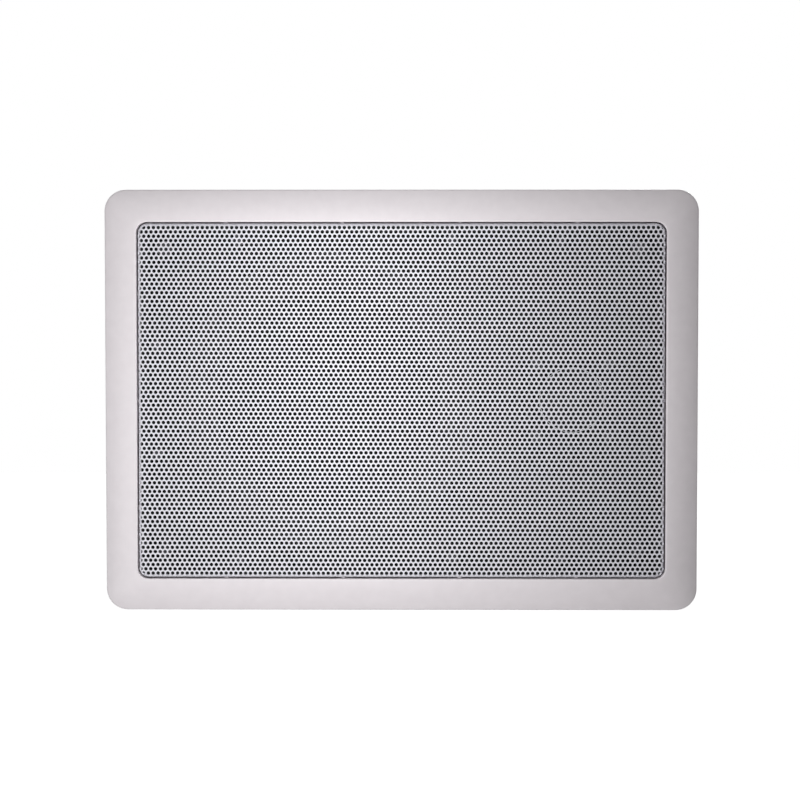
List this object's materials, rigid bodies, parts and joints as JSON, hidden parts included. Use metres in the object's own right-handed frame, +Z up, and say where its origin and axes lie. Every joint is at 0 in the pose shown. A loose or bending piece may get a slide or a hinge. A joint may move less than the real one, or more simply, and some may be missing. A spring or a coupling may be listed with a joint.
{
  "type": "public address wall speaker",
  "caption": "Rectangular flush wall speaker, a convex light grey frame round a white perforated steel grille, with drivers, line transformer and swing-out clamps behind.",
  "frame": {"origin": "centre of the frame on the wall's surface, which the frame's rim rests on", "axes": "+X to the right along the wide side, +Z up the wall, +Y into the wall; the grille looks along -Y"},
  "size_m": [0.304, 0.0852, 0.216],
  "materials": {
    "frame_plastic": "satin, fine grain",
    "grille_paint": "satin powder paint",
    "black_plastic": "fine grain",
    "black_steel": "black zinc",
    "basket_paint": "semi-gloss black",
    "foam": "closed-cell foam",
    "rubber": "matt",
    "cone_paper": "pressed paper pulp",
    "spider_cloth": "resin-dipped weave",
    "former_paper": "paper tube",
    "copper": "enamelled wire",
    "zinc_steel": "bright zinc",
    "ferrite": "ground ferrite",
    "tag_board": "phenolic sheet",
    "brass": "tinned brass",
    "dome_cloth": "coated silk",
    "board_green": "glass-fibre board",
    "film_yellow": "taped film",
    "ceramic": "glazed ceramic",
    "core_steel": "varnished sheets",
    "winding_tape": "polyester tape",
    "dog_nylon": "glass-filled nylon",
    "lead_cover": "soft cable cover"
  },
  "bodies": {
    "speaker": {"bezel_frame": "frame_plastic", "grille": "grille_paint", "baffle": "black_plastic", "baffle_screws": "black_steel", "woofer_basket": "basket_paint", "woofer_gasket": "foam", "woofer_top_plate": "zinc_steel", "woofer_magnet": "ferrite", "woofer_pole_plate": "zinc_steel", "woofer_tag_board": "tag_board", "woofer_tags": "brass", "woofer_screws": "black_steel", "tweeter_faceplate": "black_plastic", "tweeter_dome": "dome_cloth", "tweeter_coil": "copper", "tweeter_top_plate": "zinc_steel", "tweeter_magnet": "ferrite", "tweeter_pole_plate": "zinc_steel", "tweeter_screws": "black_steel", "crossover_board": "board_green", "crossover_capacitor": "film_yellow", "crossover_coil": "copper", "crossover_resistor": "ceramic", "crossover_screws": "zinc_steel", "transformer_core": "core_steel", "transformer_winding": "winding_tape", "transformer_bracket": "zinc_steel", "transformer_screws": "zinc_steel", "terminal_block": "ceramic", "terminal_clamps": "brass", "terminal_screws": "zinc_steel", "line_leads": "lead_cover", "board_leads": "lead_cover", "woofer_leads": "lead_cover", "tweeter_leads": "lead_cover"},
    "cone_assembly": {"woofer_surround": "rubber", "woofer_cone": "cone_paper", "woofer_dust_cap": "cone_paper", "woofer_spider": "spider_cloth", "voice_coil_former": "former_paper", "voice_coil_winding": "copper"},
    "clamp_screw_body_1": {"clamp_screw_1": "black_steel"},
    "clamp_dog_body_1": {"clamp_dog_1": "dog_nylon"},
    "clamp_screw_body_2": {"clamp_screw_2": "black_steel"},
    "clamp_dog_body_2": {"clamp_dog_2": "dog_nylon"},
    "clamp_screw_body_3": {"clamp_screw_3": "black_steel"},
    "clamp_dog_body_3": {"clamp_dog_3": "dog_nylon"},
    "clamp_screw_body_4": {"clamp_screw_4": "black_steel"},
    "clamp_dog_body_4": {"clamp_dog_4": "dog_nylon"}
  },
  "joints": [
    {"name": "cone_stroke", "type": "slide", "parent": "speaker", "child": "cone_assembly", "axis": [0, -1, 0], "range_m": [-0.004, 0.004], "stiffness_N_per_m": 1200, "deforming": ["woofer_surround", "woofer_spider"]},
    {"name": "clamp_swing_1", "type": "hinge", "parent": "speaker", "child": "clamp_screw_body_1", "pos_m": [-0.1219, 0.03, 0.0779], "axis": [0, 1, 0], "range_deg": [0, 90]},
    {"name": "clamp_travel_1", "type": "slide", "parent": "clamp_screw_body_1", "child": "clamp_dog_body_1", "axis": [0, -1, 0], "range_m": [0, 0.028]},
    {"name": "clamp_swing_2", "type": "hinge", "parent": "speaker", "child": "clamp_screw_body_2", "pos_m": [0.1219, 0.03, 0.0779], "axis": [0, 1, 0], "range_deg": [0, 90]},
    {"name": "clamp_travel_2", "type": "slide", "parent": "clamp_screw_body_2", "child": "clamp_dog_body_2", "axis": [0, -1, 0], "range_m": [0, 0.028]},
    {"name": "clamp_swing_3", "type": "hinge", "parent": "speaker", "child": "clamp_screw_body_3", "pos_m": [0.1219, 0.03, -0.0779], "axis": [0, 1, 0], "range_deg": [0, 90]},
    {"name": "clamp_travel_3", "type": "slide", "parent": "clamp_screw_body_3", "child": "clamp_dog_body_3", "axis": [0, -1, 0], "range_m": [0, 0.028]},
    {"name": "clamp_swing_4", "type": "hinge", "parent": "speaker", "child": "clamp_screw_body_4", "pos_m": [-0.1219, 0.03, -0.0779], "axis": [0, 1, 0], "range_deg": [0, 90]},
    {"name": "clamp_travel_4", "type": "slide", "parent": "clamp_screw_body_4", "child": "clamp_dog_body_4", "axis": [0, -1, 0], "range_m": [0, 0.028]}
  ]
}
